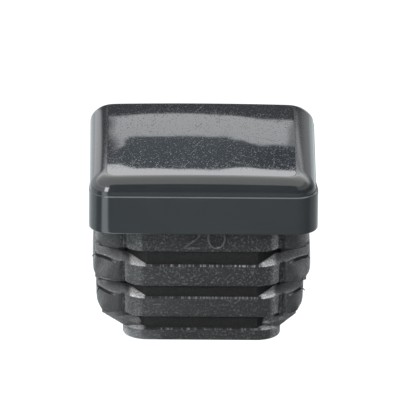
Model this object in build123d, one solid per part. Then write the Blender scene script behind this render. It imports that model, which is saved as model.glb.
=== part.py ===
from build123d import *
import os

os.makedirs("parts", exist_ok=True)

# Square tube end cap, one moulding. Millimetres, +Z up, origin at the centre of
# the plug's open end, X across the barbed sides, Y across the flat-land sides.

# ---- driving dimensions --------------------------------------------------
TUBE = 20.0            # outside size of the square tube, and of the head
HEAD_R = 2.0           # plan radius of the head's vertical corners
SEAT_Z = 10.5          # underside of the head, which lands on the tube's end
PART_Z = 14.0          # mould parting line round the head
PART_STEP = 0.07       # ledge at the parting line, per side
CROWN_Z = 15.70        # highest point of the top face
CROWN_R = 300.0        # radius of the top face's slight crown
SHOULDER_R = 1.5       # rounding between the top face and the sides
SKIRT_EDGE = 0.15      # rounding of the skirt's lower outer edge

LAND_X = 6.95          # half width of the flat lands and of the base
LAND_Y = 8.5           # half depth of the flat lands
LAND_R = 1.87          # plan radius of the lands' corners
LAND_EDGE = 0.10       # rounding of the lands' upper and lower edges
BASE_TOP = 1.00        # top of the base block
BASE_EDGE = 0.45       # rounding of the base's lower edge

NECK_Y = 8.05          # half depth of the neck in the grooves
NECK_FLAT_X = 4.85     # half width of the neck's front wall
NECK_X = 6.70          # half width of the neck
NECK_FLAT_Y = 4.70     # half depth of the neck's side wall

# one row a tier, from the tube's mouth down: land bottom, land top,
# level of the shelf below it, barb half width at its lower and upper edge
TIERS = (
    (8.31, SEAT_Z, 6.94, 9.55, 9.55),
    (5.09, 6.94, 3.94, 9.62, 9.40),
    (2.20, 3.94, 1.00, 9.20, 9.06),
)
BARB_Y = 7.60          # half length of a barb beside the flat land, upper edge
BARB_Y_LOW = 7.80      # the same at its lower edge
WEDGE_Y = 7.50         # half length of the slope under a barb
WEDGE_FOOT = 0.10      # height of the slope's foot above the shelf
WEDGE_TIP = 0.25       # height of the slope's outer end above the land's bottom
NICK_X = 7.05          # small upright nick between barb and flat land
NICK_W = 0.22

POCKET_X = 5.30        # half width of the hollow at its mouth
POCKET_Y = 6.40        # half depth of the hollow at its mouth
POCKET_R = 1.50
POCKET_TOP = 13.50     # roof of the hollow
POCKET_DRAFT = 1.0     # degrees


def prism(face, bottom, top):
    return extrude(Pos(0, 0, bottom) * face, amount=top - bottom)


# ---- head ----------------------------------------------------------------
skirt = prism(RectangleRounded(TUBE, TUBE, HEAD_R), SEAT_Z, PART_Z)
skirt = fillet(skirt.edges().group_by(Axis.Z)[0], SKIRT_EDGE)
upper = TUBE - 2 * PART_STEP
crown = prism(RectangleRounded(upper, upper, HEAD_R - PART_STEP), PART_Z - 0.5, 18.0)
crown = crown & (Pos(0, 0, CROWN_Z - CROWN_R) * Sphere(CROWN_R))
crown = fillet(crown.faces().sort_by(Axis.Z)[-1].edges(), SHOULDER_R)
head = skirt + crown

# ---- plug: neck, flat lands and base --------------------------------------
neck_plan = make_face(Polyline(
    (NECK_FLAT_X, NECK_Y), (NECK_X, NECK_FLAT_Y), (NECK_X, -NECK_FLAT_Y),
    (NECK_FLAT_X, -NECK_Y), (-NECK_FLAT_X, -NECK_Y), (-NECK_X, -NECK_FLAT_Y),
    (-NECK_X, NECK_FLAT_Y), (-NECK_FLAT_X, NECK_Y), close=True))
plug = prism(neck_plan, 0.5, SEAT_Z + 0.5)

land_plan = RectangleRounded(2 * LAND_X, 2 * LAND_Y, LAND_R)
base = prism(land_plan, 0.0, BASE_TOP)
base = fillet(base.edges().group_by(Axis.Z)[0], BASE_EDGE)
base = fillet(base.edges().group_by(Axis.Z)[-1], LAND_EDGE)
plug += base

nick_plan = Sketch() + [
    Pos(sx * NICK_X, sy * BARB_Y) * Rectangle(NICK_W, 1.0)
    for sx in (-1, 1) for sy in (-1, 1)
]


def barb_plan(points, z):
    """Plan of a pair of barbs, mirrored from one quarter's corner points."""
    quarter = list(points)
    ring = (quarter + [(-x, y) for x, y in reversed(quarter)]
            + [(-x, -y) for x, y in quarter] + [(x, -y) for x, y in reversed(quarter)])
    return Pos(0, 0, z) * make_face(Polyline(*ring, close=True))


def upper_plan(tip):
    """The upper edge: corners cut back at about 45 degrees."""
    return ((tip, 5.0), (tip - 0.35, 5.5), (7.10, BARB_Y))


def lower_plan(tip):
    """The lower edge: fuller corners."""
    return ((tip, 5.6), (tip - 0.55, 7.25), (7.10, BARB_Y_LOW))


for bottom, top, shelf, low_tip, high_tip in TIERS:
    under_head = top == SEAT_Z
    above = SEAT_Z + 0.4 if under_head else top
    land = prism(land_plan, bottom, above)
    edges = land.edges().group_by(Axis.Z)
    land = fillet(edges[0] + (edges[-1] if not under_head else []), LAND_EDGE)
    low = barb_plan(lower_plan(low_tip), bottom)
    high = barb_plan(lower_plan(low_tip) if under_head else upper_plan(high_tip), above)
    barbs = loft([low, high], ruled=True)
    # the underside slopes from the barb's tip down to the neck
    tip_z = bottom + WEDGE_TIP
    clip = make_face(Polyline(
        (NECK_X - 0.4, above + 0.1), (NECK_X - 0.4, shelf + WEDGE_FOOT),
        (LAND_X, shelf + WEDGE_FOOT), (low_tip, tip_z), (low_tip + 1, tip_z),
        (low_tip + 1, above + 0.1), close=True))
    clip += mirror(clip, Plane.YZ)
    barbs = barbs & (extrude(Plane.XZ * clip, amount=12, both=True)
                     + Pos(0, 0, (bottom + above) / 2) * Box(2 * NECK_X, 40, above - bottom))
    slope = make_face(Polyline(
        (NECK_X - 0.2, bottom + 0.3), (low_tip, bottom + 0.3), (low_tip, tip_z),
        (LAND_X, shelf + WEDGE_FOOT), (LAND_X, shelf), (NECK_X - 0.2, shelf), close=True))
    slope += mirror(slope, Plane.YZ)
    wedge = extrude(Plane.XZ * slope, amount=WEDGE_Y, both=True)
    wedge = wedge & prism(barb_plan(
        ((low_tip, 5.5), (low_tip - 0.62, 7.1), (8.2, WEDGE_Y)), 0.0), shelf - 0.1, bottom + 0.4)
    tier = land + barbs + wedge
    tier -= prism(nick_plan, bottom - 0.01, above + 0.01)
    plug += tier

# ---- hollow ----------------------------------------------------------------
mouth = RectangleRounded(2 * POCKET_X, 2 * POCKET_Y, POCKET_R)
pocket = extrude(mouth, amount=POCKET_TOP, taper=POCKET_DRAFT)

end_cap = head + plug - pocket
end_cap.label = "end_cap"
export_step(end_cap, "parts/end_cap.step")
print("solids", len(end_cap.solids()), "volume", round(end_cap.volume, 1))
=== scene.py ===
import math

import bpy
import numpy as np
from mathutils import Matrix, Vector


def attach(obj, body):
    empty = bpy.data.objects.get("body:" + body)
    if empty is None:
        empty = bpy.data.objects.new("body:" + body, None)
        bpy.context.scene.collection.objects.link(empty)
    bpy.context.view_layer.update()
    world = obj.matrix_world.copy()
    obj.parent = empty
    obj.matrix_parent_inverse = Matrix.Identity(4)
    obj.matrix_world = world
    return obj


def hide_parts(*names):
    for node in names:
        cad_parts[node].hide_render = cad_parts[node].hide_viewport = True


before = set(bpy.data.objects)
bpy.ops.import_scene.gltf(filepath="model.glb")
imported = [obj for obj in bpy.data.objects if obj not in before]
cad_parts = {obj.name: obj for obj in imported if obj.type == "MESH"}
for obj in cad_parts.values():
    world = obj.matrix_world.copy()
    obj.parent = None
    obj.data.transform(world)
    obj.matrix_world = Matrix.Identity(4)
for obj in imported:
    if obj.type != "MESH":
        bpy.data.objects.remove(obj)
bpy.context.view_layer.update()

MM = 0.001
rng = np.random.default_rng(2020)

# --------------------------------------------------------------------------
# dimensions, in millimetres, the same as the construction model's
# --------------------------------------------------------------------------
HALF, HEAD_R = 10.0, 2.0
SEAT_Z, PART_Z, LEDGE = 10.5, 14.0, 0.09
UPPER_DX = -0.08       # the mould's upper half is set a little to one side
UPPER_HALF = 9.86
CROWN_Z, CROWN_R = 15.70, 300.0
GLOSS_X, GLOSS_Y, GLOSS_DX = 8.22, 8.66, -0.20   # outline of the polished top
PLUG_DX = -0.06        # the plug sits a hair off the head's centre
LAND_X, LAND_Y, LAND_R, LAND_E = 6.88, 8.50, 1.87, 0.09
NECK = [(4.85, 8.05), (6.70, 4.70), (6.70, -4.70), (4.85, -8.05),
        (-4.85, -8.05), (-6.70, -4.70), (-6.70, 4.70), (-4.85, 8.05)]
# land bottom, land top, shelf below, barb tip on the left and right,
# quarter outline of the barb at its lower edge and at its upper edge
LOW0 = ((1.0, 0.0), (0.995, 5.2), (0.985, 6.1), (0.95, 6.9), (0.85, 7.62), (0.785, 7.72), (0.745, 7.58))
LOW1 = ((1.0, 0.0), (0.997, 4.6), (0.980, 5.9), (0.943, 6.7), (0.90, 7.15), (0.84, 7.42), (0.78, 7.55), (0.737, 7.42))
TOP1 = ((0.975, 0.0), (0.975, 5.0), (0.945, 5.45), (0.905, 5.58), (0.83, 6.26), (0.775, 7.00), (0.735, 7.30))
LOW2 = ((1.0, 0.0), (0.996, 4.6), (0.988, 5.5), (0.970, 6.3), (0.955, 6.95), (0.905, 7.42), (0.83, 7.62), (0.77, 7.45))
TOP2 = ((1.003, 0.0), (1.003, 4.9), (0.950, 5.7), (0.87, 6.7), (0.80, 7.2), (0.765, 7.35))
TIERS = ((8.31, 10.5, 6.94, 9.38, 9.42, LOW0, LOW0),
         (5.09, 6.94, 3.94, 9.64, 9.60, LOW1, TOP1),
         (2.20, 3.94, 1.00, 9.26, 8.92, LOW2, TOP2))
BASE_TOP, BASE_E = 1.00, 0.14
POCKET = (5.30, 6.40, 1.50, 13.50, 1.0)

# --------------------------------------------------------------------------
# columns: directions round the Z axis, closer together at the plug's corners
# --------------------------------------------------------------------------
N = 524
fine = np.linspace(0, 2 * math.pi, 20001)
q = np.abs(((fine + math.pi / 4) % (math.pi / 2)) - math.pi / 4)  # 0 on an axis, 45 deg at a corner
rr = 1 / np.maximum(np.abs(np.cos(fine)), np.abs(np.sin(fine)))
dens = rr * (1.0 + 1.3 * np.exp(-((q - math.radians(42)) / math.radians(8)) ** 2))
cum = np.concatenate([[0], np.cumsum((dens[1:] + dens[:-1]) / 2)])
TH = np.interp(np.arange(N) / N * cum[-1], cum, fine)
keys = [(4.85, 8.05), (6.70, 4.70), (5.01, 8.50), (7.06, 7.42), (7.98, 6.26), (8.7, 5.6)]
for kx, ky in keys:
    a = math.atan2(ky, kx)
    for t in (a, math.pi - a, math.pi + a, 2 * math.pi - a):
        TH[np.argmin(np.abs(TH - t))] = t
CO, SI = np.cos(TH), np.sin(TH)


def polar(poly):
    """Distance from the axis to a star-shaped outline along each column's direction."""
    p = np.asarray(poly, float)
    a = np.arctan2(p[:, 1], p[:, 0]) % (2 * math.pi)
    order = np.argsort(a, kind="stable")
    p, a = p[order], a[order]
    keep = np.concatenate([[True], np.diff(a) > 1e-9])
    p, a = p[keep], a[keep]
    k = (np.searchsorted(a, TH, side="right") - 1) % len(a)
    p0, p1 = p[k], p[(k + 1) % len(a)]
    d = p1 - p0
    return (p0[:, 0] * d[:, 1] - p0[:, 1] * d[:, 0]) / (CO * d[:, 1] - SI * d[:, 0])


def rounded(hx, hy, rx, ry=None, off=0.0, n=40):
    """Rectangle with elliptical corners, drawn in by off."""
    ry = rx if ry is None else ry
    hx, hy, rx, ry = hx - off, hy - off, max(rx - off, 0.02), max(ry - off, 0.02)
    t = np.linspace(0, math.pi / 2, n)
    out = []
    for k, (sx, sy) in enumerate(((1, 1), (-1, 1), (-1, -1), (1, -1))):
        c, s = np.cos(t), np.sin(t)
        if k % 2:
            c, s = c[::-1], s[::-1]
        out += list(zip(sx * (hx - rx + rx * c), sy * (hy - ry + ry * s)))
    return polar(out)


def neck(off=0.0):
    return polar(NECK) - off


def limit_x(r, w):
    return np.minimum(r, w / np.maximum(np.abs(CO), 1e-6))


RINGS = []  # (radius array, height array, zone)
TOP, SKIRT, PLUG, INSIDE, LINE = 0, 1, 2, 3, 4


def ring(r, z, zone):
    RINGS.append((np.array(r, float), np.full(N, z, float) if np.isscalar(z) else np.array(z, float), zone))


def crown(r):
    return CROWN_Z - r * r / (2 * CROWN_R)


# ---- head: crowned top, shoulder, parting ledge, skirt ----------------------
def shifted(poly_r, dx):
    """The same outline moved sideways, measured again from the axis."""
    return polar(np.stack([poly_r * CO + dx, poly_r * SI], -1))


edge = shifted(rounded(GLOSS_X, GLOSS_Y, 0.75), GLOSS_DX)
for s in (0.02, 0.06, 0.12, 0.18, 0.25, 0.32, 0.39, 0.46, 0.53, 0.6, 0.66, 0.72, 0.78, 0.83, 0.88, 0.92, 0.95, 0.975, 0.99):
    # the outline turns from a circle at the middle into the rounded square
    w = min(1.0, s * 1.25) ** 1.5
    r = (np.full(N, GLOSS_X) * (1 - w) + edge * w) * s
    ring(r, crown(r), TOP)
ring(edge, crown(edge), TOP)
z_edge = crown(edge)
outer = shifted(rounded(UPPER_HALF, HALF - LEDGE, HEAD_R - LEDGE), UPPER_DX)
# a faint rim where the polished face ends
ring(edge + 0.055, z_edge - 0.004, LINE)
STEPS = 18
for k in range(1, STEPS + 1):
    f = math.radians(90 * k / STEPS)
    r = edge + (outer - edge) * math.sin(f)
    ring(r, PART_Z + (z_edge - PART_Z) * math.cos(f) ** 0.92, SKIRT)
SKIRT_FROM = len(RINGS) - 1
for k in range(0, 6):
    f = math.radians(90 * k / 5)
    ring(rounded(HALF, HALF, HEAD_R, off=0.085 * (1 - math.sin(f))), PART_Z - 0.085 * (1 - math.cos(f)), SKIRT)
for z in np.linspace(13.9, SEAT_Z + 0.22, 8):
    ring(rounded(HALF, HALF, HEAD_R), z, SKIRT)
for k in range(1, 5):
    f = math.radians(90 * k / 4)
    ring(rounded(HALF, HALF, HEAD_R, off=0.15 * (1 - math.cos(f))), SEAT_Z + 0.15 * (1 - math.sin(f)), SKIRT)


# ---- plug ------------------------------------------------------------------
def nick(r, depth):
    """Small upright groove between the barbs and the flat lands."""
    x, y = np.abs(r * CO), np.abs(r * SI)
    mid, wide = np.where(CO > 0, 7.22, 7.06), np.where(CO > 0, 0.15, 0.10)
    g = np.exp(-((x - mid) / wide) ** 4) * (y > 6.0)
    return r - depth * g


def smooth(pts, rounds=3):
    """Corner cutting, so that an outline of a few points becomes one soft curve."""
    p = [np.array(q2, float) for q2 in pts]
    for _ in range(rounds):
        out = [p[0]]
        for a0, a1 in zip(p, p[1:]):
            out += [a0 * 0.75 + a1 * 0.25, a0 * 0.25 + a1 * 0.75]
        p = out + [p[-1]]
    return [tuple(q2) for q2 in p]


def barb(tier, t):
    """Outline of the two barbs, t from 0 at the lower edge to 1 at the upper."""
    bottom, top, shelf, left, right, low, high = tier

    def quarter(pts, tip):
        pts = smooth(pts)
        return polar([(tip * f, y) for f, y in pts] + [(tip * pts[-1][0] * 0.6, pts[-1][1] * 1.0), (0.0, pts[-1][1])]
                     + [(-tip * f, y) for f, y in pts] + [(-tip * f, -y) for f, y in pts[1:]]
                     + [(0.0, -pts[-1][1])] + [(tip * f, -y) for f, y in pts[1:]])

    r = np.zeros(N)
    roll = max(0.0, 1 - t / 0.30) ** 2.2 if top < SEAT_Z else 0.0
    right -= roll * (0.20 if top > 5 else 0.16)
    left -= roll * (0.10 if top > 5 else 0.10)
    for sign, tip in ((1, right), (-1, left)):
        side = (1 - t) * quarter(low, tip) + t * quarter(high, tip)
        r = np.where(CO * sign > 0, side, r)
    # past the nick the flat land takes over
    return np.where(np.abs(r * CO) > 6.6, r, 0.0)


def tier_section(t, tier, off=0.0):
    land = rounded(LAND_X, LAND_Y, LAND_R, off=off)
    fin = barb(tier, t)
    fin = np.where(fin > 0, fin - off, 0)
    return nick(np.maximum(land, fin), 0.32)


OFF_AXIS = np.degrees(np.arctan2(np.abs(SI), np.abs(CO)))


def groove_section(z, tier, k):
    bottom, top, shelf, left, right = tier[:5]
    f = (z - shelf) / (bottom - shelf)
    cut = ((0.0, 0.0), (0.42, 0.24), (0.62, 0.48))[k]
    w = np.where(CO > 0, right - cut[0], left - cut[1])
    w = (LAND_X - 0.05) + (w - LAND_X) * f ** (1.05, 1.05, 1.0)[k]
    wedge = np.minimum(rounded(9.6, (6.9, 6.9, 7.45)[k], 0.9, 1.6), w / np.maximum(np.abs(CO), 1e-6))
    # the slope ends in a face that runs outwards from the neck's corner
    if k < 2:
        return np.maximum(neck(), np.where(OFF_AXIS < 37.0, wedge, 0))
    near_end = np.clip((55.5 - 8.6 * min(1.0, f * 1.5) - OFF_AXIS) / 5.0 + 0.5, 0, 1)
    near_end = near_end * near_end * (3 - 2 * near_end)
    return neck() + near_end * (np.maximum(neck(), wedge) - neck())


first = tier_section(1.0, TIERS[0])
head_in = rounded(HALF, HALF, HEAD_R, off=0.15)
HEAD_RINGS = len(RINGS)
for s in (0.35, 0.7, 0.93):
    ring(head_in * (1 - s) + first * s, SEAT_Z, PLUG)
for ti, tier in enumerate(TIERS):
    bottom, top, shelf = tier[:3]
    span = top - bottom
    if ti:
        for k in range(0, 4):
            f = math.radians(90 * k / 3)
            z = top - LAND_E * (1 - math.cos(f))
            ring(tier_section((z - bottom) / span, tier, LAND_E * (1 - math.sin(f))), z, PLUG)
        # thin lip of flash along the barbs' upper edge
        for dz, cut in ((0.10, 0.0), (0.12, 0.14), (0.24, 0.12), (0.32, 0.0)):
            r = tier_section((top - dz - bottom) / span, tier)
            ring(r - cut * (np.abs(r * CO) > 7.6), top - dz, PLUG)
        zs = np.linspace(top - 0.42, bottom + LAND_E + 0.08, 9)
    else:
        ring(first, SEAT_Z - 0.01, PLUG)
        zs = np.linspace(top - 0.25, bottom + LAND_E + 0.12, 9)
    for z in zs:
        ring(tier_section((z - bottom) / span, tier), z, PLUG)
    for k in range(0, 4):
        f = math.radians(90 * k / 3)
        ring(tier_section(0.0, tier, LAND_E * (1 - math.cos(f))), bottom + LAND_E * (1 - math.sin(f)), PLUG)
    for z in np.linspace(bottom, shelf, 15 if ti == 2 else 9):
        ring(groove_section(z, tier, ti), z, PLUG)
base = lambda off: rounded(LAND_X, LAND_Y, LAND_R, off=off)
for k in range(0, 4):
    f = math.radians(90 * k / 3)
    ring(base(LAND_E * (1 - math.sin(f))), BASE_TOP - LAND_E * (1 - math.cos(f)), PLUG)
ring(base(0), 0.70, PLUG)
for k in range(0, 7):
    f = math.radians(90 * k / 6)
    ring(rounded(LAND_X, LAND_Y, LAND_R + 0.25, off=BASE_E * (1 - math.cos(f))), BASE_E * (1 - math.sin(f)), PLUG)

# ---- hollow ------------------------------------------------------------------
px, py, pr, pz, draft = POCKET
outer0 = rounded(LAND_X, LAND_Y, LAND_R + 0.25, off=BASE_E)
mouth = rounded(px + 0.12, py + 0.12, pr + 0.12)
ring(outer0 * 0.5 + mouth * 0.5, 0.0, PLUG)
for k in range(0, 4):
    f = math.radians(90 * k / 3)
    ring(rounded(px, py, pr, off=-0.12 * (1 - math.sin(f))), 0.12 * (1 - math.cos(f)), INSIDE)
tn = math.tan(math.radians(draft))
for z in np.linspace(0.6, pz - 0.5, 8):
    ring(rounded(px, py, pr, off=z * tn), z, INSIDE)
for k in range(1, 6):
    f = math.radians(90 * k / 5)
    ring(rounded(px, py, pr, off=pz * tn + 0.4 * (1 - math.cos(f))), pz - 0.4 + 0.4 * math.sin(f), INSIDE)
roof = RINGS[-1][0]
for s in (0.8, 0.55, 0.3, 0.08):
    ring(roof * s, pz, INSIDE)

# --------------------------------------------------------------------------
# mesh
# --------------------------------------------------------------------------
M = len(RINGS)
R = np.array([r for r, _, _ in RINGS])
Z = np.array([z for _, z, _ in RINGS])
ZONE = [k for _, _, k in RINGS]
X, Y = R * CO, R * SI
for j, zone in enumerate(ZONE):
    if zone == SKIRT and j > SKIRT_FROM:
        s = np.clip((Y[j] + 8.0) / 2.5, 0, 1)
        s = s * s * (3 - 2 * s)
        X[j] -= s * np.where(X[j] > 0, 0.17, -0.08) * np.clip(np.abs(X[j]) / HALF, 0, 1) ** 4
X[HEAD_RINGS + 3:] += PLUG_DX
X, Y, Z = (np.clip(v, lo, hi) for v, lo, hi in ((X, -HALF, HALF), (Y, -HALF, HALF), (Z, 0.0, CROWN_Z)))
verts = np.stack([X, Y, Z], -1).reshape(-1, 3)
apex_top, apex_in = len(verts), len(verts) + 1
verts = np.vstack([verts, [[0, 0, CROWN_Z], [0, 0, pz]]])
faces, mats = [], []
for j in range(M - 1):
    a = j * N + np.arange(N)
    b = j * N + (np.arange(N) + 1) % N
    faces += np.stack([a, a + N, b + N, b], -1).tolist()
    mats += [ZONE[j + 1]] * N
tris = [(apex_top, i, (i + 1) % N) for i in range(N)]
last = (M - 1) * N
tris += [(apex_in, last + (i + 1) % N, last + i) for i in range(N)]
verts = verts.tolist()
faces += [list(f) for f in tris]
mats += [TOP] * N + [INSIDE] * N


def loft_loops(loops, zone=PLUG, closed=False):
    """Closed skin through loops of equal length; ends are capped unless the sweep is a ring."""
    base_i, n = len(verts), len(loops[0])
    for lp in loops:
        verts.extend([list(p) for p in lp])
    m = len(loops)
    for i in range(m if closed else m - 1):
        for j in range(n):
            a0, a1 = base_i + i * n + j, base_i + i * n + (j + 1) % n
            b0, b1 = base_i + ((i + 1) % m) * n + j, base_i + ((i + 1) % m) * n + (j + 1) % n
            faces.append([a0, a1, b1, b0])
            mats.append(zone)
    if not closed:
        faces.append([base_i + j for j in range(n)][::-1])
        faces.append([base_i + (m - 1) * n + j for j in range(n)])
        mats.extend([zone, zone])


def stroke(path, closed=False, wide=0.068, high=0.080, y=-LAND_Y):
    """Raised line on the front land, following x, z points."""
    p = np.asarray(path, float)
    if closed:
        t = np.roll(p, -1, 0) - np.roll(p, 1, 0)
    else:
        t = np.gradient(p, axis=0)
    t /= np.linalg.norm(t, axis=1)[:, None]
    nrm = np.stack([-t[:, 1], t[:, 0]], -1)
    loops = []
    for c, nn in zip(p, nrm):
        lp = []
        for u, h in ((-1.25, -0.04), (-0.8, 0.7), (-0.35, 1.0), (0.35, 1.0), (0.8, 0.7), (1.25, -0.04)):
            q2 = c + nn * u * wide
            lp.append((q2[0], y - max(h, 0) * high + (0.05 if h < 0 else 0), q2[1]))
        loops.append(lp)
    loft_loops(loops, closed=closed)


# a plain size number in low relief, half under the head's edge
t = np.linspace(math.radians(160), math.radians(-38), 18)
two = [(-0.90 + 0.62 * math.cos(u), 9.93 + 0.50 * math.sin(u)) for u in t]
two += [(-0.78, 9.30), (-1.10, 9.05), (-1.42, 8.84), (-1.58, 8.72)]
stroke([(x + PLUG_DX, z) for x, z in two])
stroke([(-1.62 + PLUG_DX, 8.70), (-1.2 + PLUG_DX, 8.68), (-0.7 + PLUG_DX, 8.70), (-0.25 + PLUG_DX, 8.70)])
t = np.linspace(0, 2 * math.pi, 41)[:-1]
stroke([(1.16 + 0.72 * math.cos(u), 9.56 + 0.90 * math.sin(u)) for u in t], closed=True)


def burr(points, thick):
    """Thin tapering sliver of moulding flash; its root is sunk in the barb."""
    p = np.asarray(points, float)
    loops = []
    for i, c in enumerate(p):
        k = 1 - 0.8 * i / (len(p) - 1)
        w = thick * k
        d = p[min(i + 1, len(p) - 1)] - p[max(i - 1, 0)]
        side = np.array([-d[1], d[0], 0.0])
        side /= max(np.linalg.norm(side), 1e-6)
        loops.append([c + side * w * 1.4, c + np.array([0, 0, w]), c - side * w * 1.4, c - np.array([0, 0, w])])
    loft_loops(loops)


burr([(-9.05, -4.9, 6.86), (-9.42, -5.35, 6.84), (-9.58, -5.65, 6.83), (-9.72, -5.92, 6.80)], 0.085)
burr([(-8.60, -4.9, 3.84), (-8.98, -5.6, 3.80), (-9.18, -5.95, 3.66), (-9.27, -6.10, 3.42)], 0.08)
burr([(8.45, -5.2, 3.85), (8.72, -5.6, 3.84), (8.90, -5.9, 3.81), (9.00, -6.10, 3.78)], 0.09)
burr([(8.75, -4.8, 6.84), (9.15, -5.2, 6.82), (9.32, -5.6, 6.70), (9.28, -6.0, 6.52)], 0.06)

me = bpy.data.meshes.new("end_cap_skin")
me.from_pydata((np.array(verts) * MM).tolist(), [], faces)
me.validate()
for m in ("gloss_top", "satin_skirt", "spark_plug", "inside_wall", "rim_line"):
    me.materials.append(bpy.data.materials.new(m))
index = np.array(mats, np.int32)
if len(index) == len(me.polygons):
    me.polygons.foreach_set("material_index", index)
me.polygons.foreach_set("use_smooth", np.ones(len(me.polygons), bool))
import bmesh
bm = bmesh.new()
bm.from_mesh(me)
bmesh.ops.recalc_face_normals(bm, faces=bm.faces)
bm.to_mesh(me)
bm.free()
me.set_sharp_from_angle(angle=math.radians(32))
me.update()
cap = bpy.data.objects.new("end_cap_skin", me)
bpy.context.scene.collection.objects.link(cap)
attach(cap, "root")
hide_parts("end_cap")
print("triangles", sum(len(p.vertices) - 2 for p in me.polygons), "rings", M)


# --------------------------------------------------------------------------
# small helper for node trees
# --------------------------------------------------------------------------
class Tree:
    def __init__(self, tree):
        self.t = tree
        self.x = 0

    def new(self, kind, **props):
        n = self.t.nodes.new(kind)
        self.x += 40
        n.location = (self.x % 2400, -(self.x // 2400) * 300)
        for k, v in props.items():
            setattr(n, k, v)
        return n

    def put(self, socket, value):
        if hasattr(value, "is_output"):
            self.t.links.new(value, socket)
        else:
            socket.default_value = value

    def math(self, op, a, b=0.0, c=0.0, clamp=False):
        n = self.new("ShaderNodeMath", operation=op, use_clamp=clamp)
        for s, v in zip(n.inputs, (a, b, c)):
            self.put(s, v)
        return n.outputs[0]

    def vec(self, op, a, b=(0, 0, 0), scale=None):
        n = self.new("ShaderNodeVectorMath", operation=op)
        self.put(n.inputs[0], a)
        self.put(n.inputs[1], b)
        if scale is not None:
            self.put(n.inputs["Scale"], scale)
        return n.outputs[0]

    def ramp(self, v, lo, hi, a=0.0, b=1.0, smooth=True):
        n = self.new("ShaderNodeMapRange", interpolation_type="SMOOTHSTEP" if smooth else "LINEAR", clamp=True) if smooth else self.new("ShaderNodeMapRange", clamp=True)
        for s, x in zip(n.inputs[:5], (v, lo, hi, a, b)):
            self.put(s, x)
        return n.outputs[0]

    def noise(self, co, scale, detail=2.0, rough=0.5, w=None, dims="3D", distortion=0.0):
        n = self.new("ShaderNodeTexNoise", noise_dimensions=dims)
        self.put(n.inputs["Vector"], co)
        n.inputs["Scale"].default_value = scale
        n.inputs["Detail"].default_value = detail
        n.inputs["Roughness"].default_value = rough
        n.inputs["Distortion"].default_value = distortion
        return n.outputs["Fac"]

    def voronoi(self, co, scale, feature="F1", randomness=1.0):
        n = self.new("ShaderNodeTexVoronoi", feature=feature)
        self.put(n.inputs["Vector"], co)
        n.inputs["Scale"].default_value = scale
        n.inputs["Randomness"].default_value = randomness
        return n

    def mix(self, f, a, b):
        n = self.new("ShaderNodeMix", data_type="RGBA")
        self.put(n.inputs[0], f)
        self.put(n.inputs[6], a)
        self.put(n.inputs[7], b)
        return n.outputs[2]

    def xyz(self, v):
        n = self.new("ShaderNodeSeparateXYZ")
        self.put(n.inputs[0], v)
        return n.outputs


def start(name):
    m = bpy.data.materials[name]
    m.use_nodes = True
    m.node_tree.nodes.clear()
    t = Tree(m.node_tree)
    out = t.new("ShaderNodeOutputMaterial")
    bsdf = t.new("ShaderNodeBsdfPrincipled")
    t.t.links.new(bsdf.outputs[0], out.inputs[0])
    co = t.new("ShaderNodeTexCoord").outputs["Object"]
    co = t.vec("SCALE", co, scale=1000.0)  # millimetres
    return t, bsdf, co


def bump(t, bsdf, height, distance, strength=1.0):
    n = t.new("ShaderNodeBump")
    n.inputs["Strength"].default_value = strength
    n.inputs["Distance"].default_value = distance
    t.put(n.inputs["Height"], height)
    t.put(bsdf.inputs["Normal"], n.outputs[0])
    return n


# --------------------------------------------------------------------------
# materials
# --------------------------------------------------------------------------
# glossy moulded top: fine scratches, dust specks, a faint wave
t, b, co = start("gloss_top")
b.inputs["IOR"].default_value = 1.50
base_n = t.noise(co, 0.35, 3)
t.put(b.inputs["Base Color"], t.mix(base_n, (0.0055, 0.0065, 0.008, 1), (0.009, 0.0105, 0.0125, 1)))
x, y, z = t.xyz(co)[:3]
grain = t.noise(co, 5.5, 3, 0.65)
spots = t.voronoi(co, 2.6).outputs["Distance"]
spots = t.math("MULTIPLY", t.ramp(spots, 0.13, 0.05), t.ramp(t.noise(co, 0.45, 2), 0.48, 0.60))
# scratches: long thin cells in two directions
m1 = t.new("ShaderNodeMapping", vector_type="TEXTURE")
t.put(m1.inputs["Vector"], co)
m1.inputs["Rotation"].default_value = (0, 0, math.radians(68))
m1.inputs["Scale"].default_value = (4.5, 0.16, 1.0)
m2 = t.new("ShaderNodeMapping", vector_type="TEXTURE")
t.put(m2.inputs["Vector"], co)
m2.inputs["Rotation"].default_value = (0, 0, math.radians(-28))
m2.inputs["Scale"].default_value = (3.5, 0.13, 1.0)
s1 = t.ramp(t.noise(m1.outputs[0], 1.0, 2), 0.715, 0.75)
s2 = t.ramp(t.noise(m2.outputs[0], 1.0, 2), 0.725, 0.76)
clean = t.ramp(y, -8.1, -7.2, 0.12, 1.0)
marks = t.math("MULTIPLY", t.math("MAXIMUM", t.math("MAXIMUM", s1, s2), spots), clean)
m3 = t.new("ShaderNodeMapping", vector_type="TEXTURE")
t.put(m3.inputs["Vector"], co)
m3.inputs["Scale"].default_value = (0.125, 0.26, 1.0)
fine_v = t.math("MULTIPLY", t.noise(m3.outputs[0], 1.0, 3, 0.6), t.ramp(y, -8.1, -7.2, 0.75, 1.0))
t.put(b.inputs["Roughness"], t.math("ADD", t.ramp(grain, 0.45, 0.85, 0.018, 0.060), t.math("ADD", t.math("MULTIPLY", marks, 0.20), t.math("MULTIPLY", t.ramp(fine_v, 0.56, 0.68), 0.17))))
wave = t.math("MULTIPLY", t.noise(co, 0.16, 1), 1.0)
fine_n = t.math("MULTIPLY", fine_v, 0.012)
h = t.math("ADD", t.math("ADD", wave, fine_n), t.math("MULTIPLY", marks, 0.10))
bump(t, b, h, 0.000010)

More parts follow.
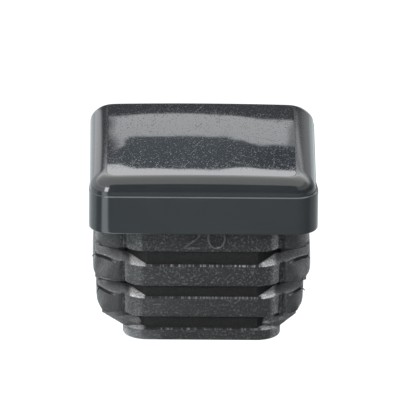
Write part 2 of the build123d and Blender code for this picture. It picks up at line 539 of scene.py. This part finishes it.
# satin sides of the head
t, b, co = start("satin_skirt")
b.inputs["IOR"].default_value = 1.47
base_n = t.noise(co, 0.5, 3)
plain = t.mix(base_n, (0.0050, 0.0062, 0.0075, 1), (0.0075, 0.0092, 0.0105, 1))
z = t.xyz(co)[2]
x = t.xyz(co)[0]
# painted highlight along the parting line, weaker towards both sides
parting_line_highlight = t.math("MULTIPLY", t.ramp(z, 13.895, 13.93), t.ramp(z, 13.995, 14.01, 1.0, 0.0))
parting_line_highlight = t.math("MULTIPLY", parting_line_highlight, t.math("MULTIPLY", t.ramp(x, -8.8, -8.3, 0.1, 1.0), t.ramp(x, 8.8, 9.3, 1.0, 0.25)))
t.put(b.inputs["Base Color"], t.mix(parting_line_highlight, plain, (0.044, 0.047, 0.049, 1)))
t.put(b.inputs["Roughness"], t.ramp(t.noise(co, 6.0, 4), 0.3, 0.7, 0.10, 0.14))
bump(t, b, t.noise(co, 1.6, 3), 0.0000012)

# spark-eroded texture on the plug; what faces up is painted paler, as painted light
t, b, co = start("spark_plug")
b.inputs["IOR"].default_value = 1.48
b.inputs["Specular IOR Level"].default_value = 0.40
x, y, z = t.xyz(co)[:3]
ax = t.math("ABSOLUTE", x)
nz = t.xyz(t.new("ShaderNodeNewGeometry").outputs["True Normal"])[2]
up = t.ramp(nz, 0.35, 0.85)
grain = t.noise(co, 6.5, 3, 0.6)
fleck = t.ramp(t.noise(co, 4.6, 4, 0.7), 0.50, 0.66)
plain = t.mix(t.noise(co, 1.2, 4), (0.0040, 0.0043, 0.0044, 1), (0.0085, 0.0090, 0.0094, 1))
# painted light: surfaces that face up get a pale colour, palest on the level facets beside the corners
lit_pale = t.mix(fleck, (0.10, 0.104, 0.108, 1), (0.28, 0.285, 0.29, 1))
level_face = t.math("MULTIPLY", t.ramp(nz, 0.90, 0.97), t.ramp(ax, 4.9, 5.2))
fleck2 = t.ramp(t.noise(co, 7.5, 4, 0.7), 0.46, 0.60)
lit_pale = t.mix(level_face, lit_pale, t.mix(t.ramp(z, 1.1, 1.3), t.mix(fleck2, (0.10, 0.102, 0.105, 1), (0.34, 0.345, 0.35, 1)), t.mix(fleck2, (0.17, 0.173, 0.177, 1), (0.66, 0.67, 0.68, 1))))


def between(v, lo, hi, soft=0.03):
    return t.math("MULTIPLY", t.ramp(v, lo - soft, lo + soft), t.ramp(v, hi - soft, hi + soft, 1.0, 0.0))


# the lowest groove's shade ends on a diagonal
third = t.math("MULTIPLY", t.ramp(z, 1.0, 1.8, 1.5, 0.2, smooth=False), t.ramp(z, 2.4, 2.8, 1.0, 0.0))
groove = t.math("ADD", t.math("ADD", between(z, 6.95, 8.29), between(z, 3.95, 5.07)), between(z, 1.01, 2.18))
# painted light: the grooves' outer parts are paler than their painted-shade insides
groove_lit_side = t.math("MULTIPLY", groove, t.ramp(t.math("ADD", ax, third), 6.75, 6.95))
nx = t.xyz(t.new("ShaderNodeNewGeometry").outputs["True Normal"])[0]
flat_part = t.ramp(ax, 7.05, 7.25, 1.0, 0.25)
glint = t.math("MULTIPLY", t.ramp(t.noise(co, 5.2, 4, 0.75), 0.545, 0.605), flat_part)
plain = t.mix(glint, plain, t.mix(t.ramp(z, 3.94, 4.5), (0.048, 0.049, 0.052, 1), (0.064, 0.065, 0.069, 1)))
# painted highlight on the lands' rounded corners, speckled
corner = t.math("MAXIMUM", t.ramp(nx, -0.10, -0.20), t.ramp(nx, 0.48, 0.58))
corner = t.math("MULTIPLY", corner, t.ramp(t.math("SUBTRACT", ax, t.ramp(x, -1.0, 1.0, 0.0, 0.08)), 6.98, 7.02, 1.0, 0.0))
corner_highlight = t.mix(fleck2, (0.022, 0.023, 0.024, 1), (0.150, 0.154, 0.158, 1))
corner_highlight = t.mix(t.math("MAXIMUM", t.ramp(nx, -0.72, -0.86), t.ramp(nx, 0.55, 0.75)), corner_highlight, t.mix(fleck2, (0.07, 0.073, 0.076, 1), (0.32, 0.325, 0.33, 1)))
plain = t.mix(t.math("MULTIPLY", corner, t.math("MULTIPLY", t.ramp(nx, -0.1, 0.1, 0.37, 0.58), t.ramp(z, 7.5, 8.4, 1.0, 1.45))), plain, corner_highlight)
# painted highlight on the raised size number's strokes
digit_highlight = t.math("MULTIPLY", t.ramp(y, -8.56, -8.53, 1.0, 0.0), t.ramp(z, 8.4, 8.5))
plain = t.mix(digit_highlight, plain, (0.060, 0.062, 0.065, 1))
# painted shadow: a dark line under the flash lip along the barbs' upper edges
lip_shadow = t.math("ADD", between(z, 6.61, 6.85, 0.02), between(z, 3.61, 3.85, 0.02))
lip_shadow = t.math("MULTIPLY", lip_shadow, t.ramp(ax, 7.6, 8.1))
# painted light: the barbs' outer ends are paler, far less so on the left
fin_end_highlight = t.math("MULTIPLY", t.ramp(ax, 8.1, 9.1), t.ramp(x, -1.0, 1.0, 0.12, 1.0))
plain = t.mix(t.math("MULTIPLY", fin_end_highlight, 0.8), plain, t.mix(fleck, (0.045, 0.046, 0.048, 1), (0.115, 0.117, 0.122, 1)))
# painted shade deep in the grooves
shade = t.math("MULTIPLY", groove, t.ramp(t.math("ADD", ax, third), 6.75, 6.95, 1.0, 0.0))
under = t.mix(shade, plain, (0.004, 0.004, 0.004, 1))
under = t.mix(t.math("MULTIPLY", groove_lit_side, 0.9), under, t.mix(fleck, (0.030, 0.031, 0.033, 1), (0.060, 0.062, 0.065, 1)))
# dimmer painted light on the outer parts of the shelves
mid_lit_pale = t.mix(fleck, (0.07, 0.072, 0.075, 1), (0.15, 0.153, 0.157, 1))
lit_pale = t.mix(t.ramp(ax, 6.15, 6.52), lit_pale, mid_lit_pale)
# the lands' upper front edges catch the light in beads
bead = t.new("ShaderNodeMapping", vector_type="TEXTURE")
t.put(bead.inputs["Vector"], co)
bead.inputs["Scale"].default_value = (0.13, 6.0, 6.0)
beads = t.math("MULTIPLY", t.ramp(t.noise(bead.outputs[0], 1.0, 1), 0.50, 0.64), t.math("ADD", t.ramp(z, 1.5, 3.0, 0.40, 0.62), t.ramp(z, 4.5, 5.5, 0.0, 0.38)))
front_edge = t.math("MULTIPLY", t.ramp(y, -7.90, -8.05), t.ramp(ax, 5.0, 5.3, 1.0, 0.0))
lit_pale = t.mix(front_edge, lit_pale, t.mix(beads, (0.010, 0.010, 0.011, 1), (0.24, 0.25, 0.26, 1)))
colour = t.mix(lip_shadow, t.mix(up, under, lit_pale), (0.002, 0.002, 0.002, 1))
t.put(b.inputs["Base Color"], colour)
t.put(b.inputs["Roughness"], t.math("ADD", t.ramp(t.noise(co, 7.0, 4), 0.3, 0.7, 0.30, 0.44), t.math("MULTIPLY", t.math("MAXIMUM", shade, lip_shadow), 0.40)))
coarse = t.ramp(t.noise(co, 5.2, 4, 0.68), 0.28, 0.72, smooth=False)
# the barbs' ends and the corners' sides are smoother than the flat lands
smoother = t.ramp(ax, 7.05, 7.25, 1.0, 0.45)
bump(t, b, t.math("MULTIPLY", coarse, smoother), 0.000180)

t, b, co = start("inside_wall")
b.inputs["IOR"].default_value = 1.48
base_n = t.noise(co, 1.0, 3)
t.put(b.inputs["Base Color"], t.mix(base_n, (0.012, 0.013, 0.014, 1), (0.020, 0.021, 0.023, 1)))
t.put(b.inputs["Roughness"], t.ramp(t.noise(co, 5.0, 4), 0.3, 0.7, 0.30, 0.42))
bump(t, b, t.noise(co, 6.0, 3), 0.000006)

# matt line where the polished face ends
t, b, co = start("rim_line")
b.inputs["IOR"].default_value = 1.30
b.inputs["Specular IOR Level"].default_value = 0.25
t.put(b.inputs["Base Color"], t.mix(t.noise(co, 2.0, 2), (0.012, 0.013, 0.014, 1), (0.022, 0.023, 0.025, 1)))
t.put(b.inputs["Roughness"], t.ramp(t.noise(co, 4.0, 2), 0.3, 0.7, 0.30, 0.45))

# --------------------------------------------------------------------------
# stage: pale floor, studio light, camera
# --------------------------------------------------------------------------
fm = bpy.data.meshes.new("floor")
s = 3.0
fm.from_pydata([(-s, -s, 0), (s, -s, 0), (s, s, 0), (-s, s, 0)], [], [(0, 1, 2, 3)])
floor = bpy.data.objects.new("floor", fm)
bpy.context.scene.collection.objects.link(floor)
floor.location.z = -0.00002
mat = bpy.data.materials.new("floor_white")
mat.use_nodes = True
mat.node_tree.nodes.clear()
t = Tree(mat.node_tree)
out = t.new("ShaderNodeOutputMaterial")
em = t.new("ShaderNodeEmission")
t.t.links.new(em.outputs[0], out.inputs[0])
pos = t.vec("SCALE", t.new("ShaderNodeTexCoord").outputs["Object"], scale=1000.0)
px_, py_, pz_ = t.xyz(pos)[:3]
# bearing round the object: 0 towards the front, + to the right
bear = t.math("MULTIPLY", t.math("ARCTAN2", px_, t.math("MULTIPLY", py_, -1.0)), 180 / math.pi)


def level(v, stops):
    """Piecewise-smooth level along v."""
    acc = stops[0][1]
    for (v0, l0), (v1, l1) in zip(stops, stops[1:]):
        acc = t.math("ADD", t.ramp(v, v0, v1, 0.0, l1 - l0), acc)
    return acc


FLOOR_STOPS = [(-180, 1.05), (-168, 1.00), (-150, 1.05), (-130, 1.55), (-95, 1.6), (-78, 1.5), (-66, 0.62), (-53, 0.60), (-43, 3.8), (-30, 3.8), (-20, 0.72),
               (0, 0.86), (30, 0.76), (60, 0.50), (80, 0.95), (110, 1.15), (168, 0.95), (180, 1.05)]
pattern = level(bear, FLOOR_STOPS)
lp = t.new("ShaderNodeLightPath")
seen = lp.outputs["Is Camera Ray"]
t.put(em.inputs[1], t.math("ADD", t.math("MULTIPLY", seen, 1.15), t.math("MULTIPLY", t.math("SUBTRACT", 1.0, seen), pattern)))
t.put(em.inputs[0], t.mix(seen, (0.92, 1.0, 1.03, 1), (1, 1, 1, 1)))
fm.materials.append(mat)

world = bpy.data.worlds.new("studio")
bpy.context.scene.world = world
world.use_nodes = True
world.node_tree.nodes.clear()
t = Tree(world.node_tree)
out = t.new("ShaderNodeOutputWorld")
bg = t.new("ShaderNodeBackground")
t.t.links.new(bg.outputs[0], out.inputs[0])
d = t.new("ShaderNodeTexCoord").outputs["Generated"]
dx, dy, dz = t.xyz(d)[:3]
el = t.math("MULTIPLY", t.math("ARCSINE", dz), 180 / math.pi)
az = t.math("MULTIPLY", t.math("ARCTAN2", dx, dy), 180 / math.pi)  # 0 behind the object, + to the right
# softboxes stand one above another all round; their edges bend a little
sx = t.math("SINE", t.math("MULTIPLY", az, 2 * math.pi / 24))
near = t.math("SUBTRACT", az, 0.0)
e_low = t.math("ADD", t.math("MULTIPLY", t.math("MINIMUM", t.math("POWER", near, 2.0), 2.0), 0.24), 18.52)
e_mid = level(near, [(-1.15, 22.1), (-1.04, 21.9), (-0.92, 21.1), (-0.80, 20.75), (-0.20, 20.90), (0.26, 20.72), (0.80, 20.80), (1.04, 21.15), (1.43, 21.6), (1.9, 21.65)])
e_top = level(near, [(-1.4, 23.45), (-1.15, 23.45), (-0.75, 23.95), (0.6, 24.02), (1.2, 23.80)])
wob = t.math("MULTIPLY", t.math("SUBTRACT", t.noise(d, 190.0, 4, 0.6), 0.5), 0.55)
e_mid = t.math("ADD", e_mid, wob)


def step(v, edge_v, soft):
    n = t.new("ShaderNodeMapRange", interpolation_type="SMOOTHSTEP", clamp=True)
    t.put(n.inputs[0], t.math("SUBTRACT", v, edge_v))
    n.inputs[1].default_value = -soft
    n.inputs[2].default_value = soft
    return n.outputs[0]


inv = lambda v: t.math("SUBTRACT", 1.0, v)
low = step(el, e_low, 0.06)
mid = step(el, e_mid, 0.16)
high = step(el, e_top, 0.06)
soft_break = t.ramp(el, 26.5, 34.0)
box_side = level(az, [(-45.0, 1.3), (-22.0, 0.75), (-14.0, 0.09), (-1.22, 0.09), (-1.00, 1.0), (1.90, 1.0), (2.02, 0.45), (2.6, 0.45), (4.2, 0.95)])
lightbox = t.math("MULTIPLY", t.math("MULTIPLY", t.math("MULTIPLY", low, inv(mid)), 1.85), box_side)
dark_gap = t.math("MULTIPLY", t.math("MULTIPLY", mid, inv(high)), t.math("ADD", t.ramp(az, 0.5, 1.9, 0.29, 0.17), t.math("ADD", t.ramp(az, -14.0, -36.0, 0.0, 2.1), t.ramp(az, 6.0, 14.0, 0.0, 0.9))))
over = t.math("MULTIPLY", high, t.math("SUBTRACT", 3.25, t.math("MULTIPLY", soft_break, 0.75)))
# near the horizon: dim straight behind, brighter towards the sides, more on the left
side_l = t.ramp(az, -9.0, -16.5)
side_r = t.ramp(az, 6.0, 20.0)
horizon = t.math("ADD", t.math("ADD", t.math("MULTIPLY", side_l, 1.35), t.math("MULTIPLY", side_r, 0.52)), 0.13)
horizon = t.math("ADD", horizon, t.ramp(az, -32.0, -60.0, 0.0, 0.8))
horizon = t.math("MULTIPLY", inv(low), horizon)
total = t.math("ADD", t.math("ADD", lightbox, dark_gap), t.math("ADD", over, horizon))
# towards the camera the room is dark up to the overhead light's near edge
bw = t.math("MULTIPLY", t.math("ARCTAN2", dx, t.math("MULTIPLY", dy, -1.0)), 180 / math.pi)
front = t.math("MULTIPLY", t.ramp(bw, -27.0, -15.0), t.ramp(bw, 18.0, 34.0, 1.0, 0.0))
edge_cut = t.ramp(el, 50.0, 54.0)
gate = t.math("MAXIMUM", inv(front), edge_cut)
total = t.math("ADD", t.math("MULTIPLY", total, gate), t.math("MULTIPLY", inv(gate), 0.38))
# the right front is dimmer than the left
dim = t.math("MULTIPLY", t.math("MULTIPLY", t.ramp(bw, 14.0, 24.0), t.ramp(bw, 110.0, 140.0, 1.0, 0.0)), t.ramp(el, 40.0, 52.0, 1.0, 0.0))
total = t.math("MULTIPLY", total, t.math("SUBTRACT", 1.0, t.math("MULTIPLY", dim, 0.55)))
# one small lamp on the front left
spot_az = t.ramp(t.math("ABSOLUTE", t.math("ADD", bw, 28.0)), 8.0, 10.0, 1.0, 0.0)
spot_el = t.math("MULTIPLY", t.ramp(el, 3.0, 5.0), t.ramp(el, 31.0, 34.0, 1.0, 0.0))
total = t.math("ADD", total, t.math("MULTIPLY", t.math("MULTIPLY", spot_az, spot_el), 13.0))
seen = t.new("ShaderNodeLightPath").outputs["Is Camera Ray"]
t.put(bg.inputs[1], t.math("ADD", t.math("MULTIPLY", seen, 1.15), t.math("MULTIPLY", inv(seen), total)))
cool = t.math("MULTIPLY", mid, inv(high))
tint = t.mix(cool, (0.985, 0.985, 1.01, 1), (0.85, 0.97, 1.06, 1))
t.put(bg.inputs[0], t.mix(seen, t.mix(soft_break, tint, (1.0, 0.985, 0.955, 1)), (1, 1, 1, 1)))

key_data = bpy.data.lights.new("key", "SUN")
key_data.energy = 3.8
key_data.angle = math.radians(14)
key_data.color = (1.0, 0.985, 0.96)
key = bpy.data.objects.new("key", key_data)
bpy.context.scene.collection.objects.link(key)
kb, ke = math.radians(-38), math.radians(35)
towards = Vector((math.sin(kb) * math.cos(ke), -math.cos(kb) * math.cos(ke), math.sin(ke)))
key.rotation_euler = towards.to_track_quat("Z", "Y").to_euler()
key.visible_glossy = False

fill_data = bpy.data.lights.new("fill", "SUN")
fill_data.energy = 2.6
fill_data.angle = math.radians(20)
fill = bpy.data.objects.new("fill", fill_data)
bpy.context.scene.collection.objects.link(fill)
kb, ke = math.radians(62), math.radians(18)
towards = Vector((math.sin(kb) * math.cos(ke), -math.cos(kb) * math.cos(ke), math.sin(ke)))
fill.rotation_euler = towards.to_track_quat("Z", "Y").to_euler()
fill.visible_glossy = False

# camera: long lens from the front, 21.3 degrees up
cam_data = bpy.data.cameras.new("camera")
cam = bpy.data.objects.new("camera", cam_data)
bpy.context.scene.collection.objects.link(cam)
bpy.context.scene.camera = cam
cam_data.sensor_width = 36.0
DIST = 1.132
cam_data.lens = 36.0 * DIST / (400 / 11.385 * MM)
e, a = math.radians(21.3), math.radians(-0.45)
backv = Vector((math.sin(a) * math.cos(e), -math.cos(a) * math.cos(e), math.sin(e)))
target = Vector((-0.245, 0.0, 9.86)) * MM
cam.location = target + backv * DIST
rot = (-backv).to_track_quat("-Z", "Y").to_matrix()
cam.rotation_euler = (rot @ Matrix.Rotation(math.radians(0.55), 3, "Z")).to_euler()
cam_data.clip_start, cam_data.clip_end = 0.05, 20.0

view = bpy.context.scene.view_settings
view.view_transform = "Standard"
view.look = "None"
